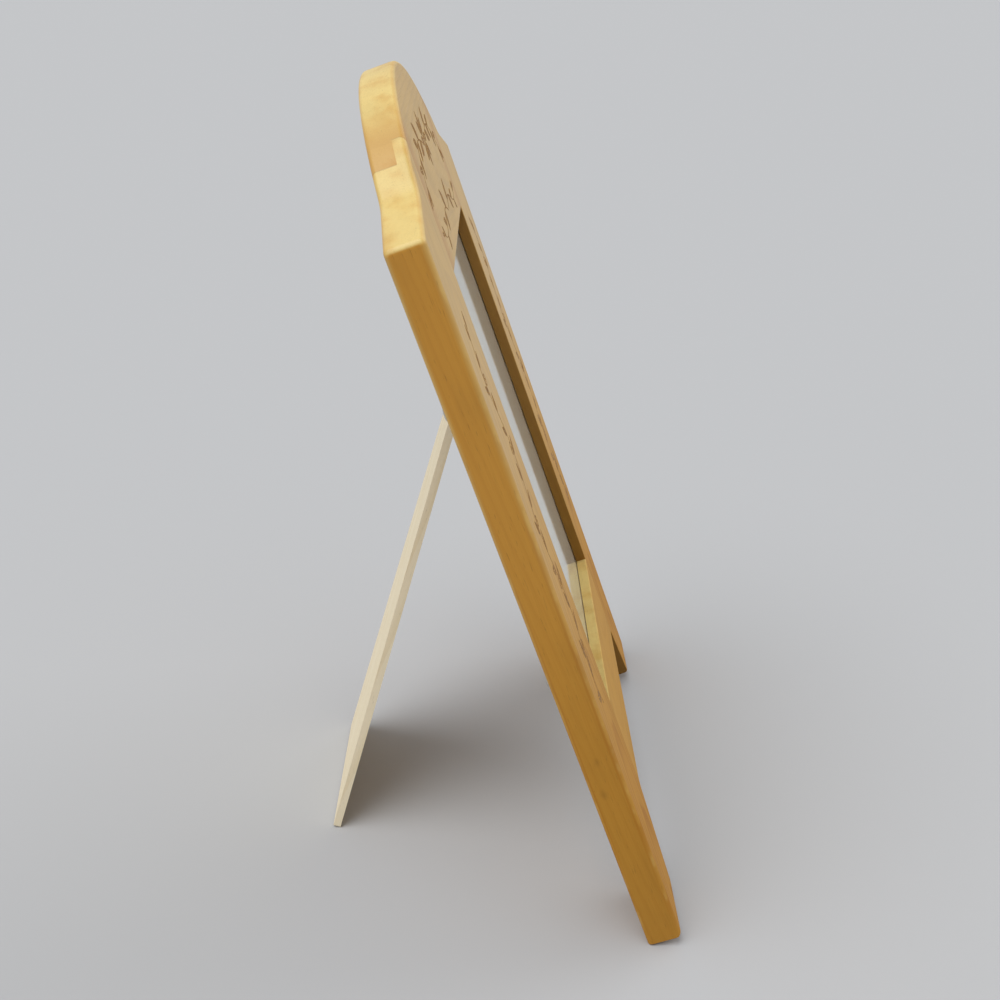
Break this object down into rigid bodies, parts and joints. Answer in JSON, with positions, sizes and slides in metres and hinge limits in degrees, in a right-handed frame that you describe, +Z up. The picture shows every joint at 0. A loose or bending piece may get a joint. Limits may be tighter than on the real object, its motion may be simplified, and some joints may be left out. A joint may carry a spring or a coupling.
{
  "type": "easel back photo frame",
  "caption": "Arched wooden tabletop photo frame with tapered feet, a glazed window in rabbeted boards and a splayed back leg on a stop hinge that folds flat.",
  "frame": {"origin": "on the table, under the middle of the footprint of the leaning frame and its open leg", "axes": "+Z up from the table, +X to the viewer's right when facing the front, -Y the way the front faces"},
  "size_m": [0.2014, 0.1298, 0.2873],
  "materials": {
    "honey_wood": "honey lacquer, satin",
    "pale_wood": "raw, sanded",
    "clear_glass": "clear, polished",
    "white_paper": "matt paper",
    "grey_card": "matt card",
    "brown_board": "smooth hardboard",
    "plated_steel": "bright zinc plate"
  },
  "bodies": {
    "frame": {"left_stile": "honey_wood", "right_stile": "honey_wood", "crest_rail": "honey_wood", "bottom_rail": "honey_wood", "glass_pane": "clear_glass", "photo_insert": "white_paper", "filler_card": "grey_card", "backing_panel": "brown_board", "hinge_panel_leaf": "plated_steel", "hinge_pin": "plated_steel", "hinge_panel_rivets": "plated_steel", "turn_button_screws": "plated_steel"},
    "leg": {"easel_leg": "pale_wood", "hinge_leg_leaf": "plated_steel", "hinge_leg_rivets": "plated_steel"},
    "turn_button_lower_left_body": {"turn_button_lower_left": "plated_steel"},
    "turn_button_lower_right_body": {"turn_button_lower_right": "plated_steel"},
    "turn_button_upper_left_body": {"turn_button_upper_left": "plated_steel"},
    "turn_button_upper_right_body": {"turn_button_upper_right": "plated_steel"}
  },
  "joints": [
    {"name": "leg_fold", "type": "hinge", "parent": "frame", "child": "leg", "pos_m": [0, 0.01035, 0.18031], "axis": [1, 0, 0], "range_deg": [-35.3, 0]},
    {"name": "button_swivel_lower_left", "type": "hinge", "parent": "frame", "child": "turn_button_lower_left_body", "pos_m": [-0.08292, -0.01903, 0.09896], "axis": [0, 0.9455, -0.3256], "continuous": true},
    {"name": "button_swivel_lower_right", "type": "hinge", "parent": "frame", "child": "turn_button_lower_right_body", "pos_m": [0.08292, -0.01903, 0.09896], "axis": [0, 0.9455, -0.3256], "continuous": true},
    {"name": "button_swivel_upper_left", "type": "hinge", "parent": "frame", "child": "turn_button_upper_left_body", "pos_m": [-0.08292, 0.01338, 0.1931], "axis": [0, 0.9455, -0.3256], "continuous": true},
    {"name": "button_swivel_upper_right", "type": "hinge", "parent": "frame", "child": "turn_button_upper_right_body", "pos_m": [0.08292, 0.01338, 0.1931], "axis": [0, 0.9455, -0.3256], "continuous": true}
  ]
}
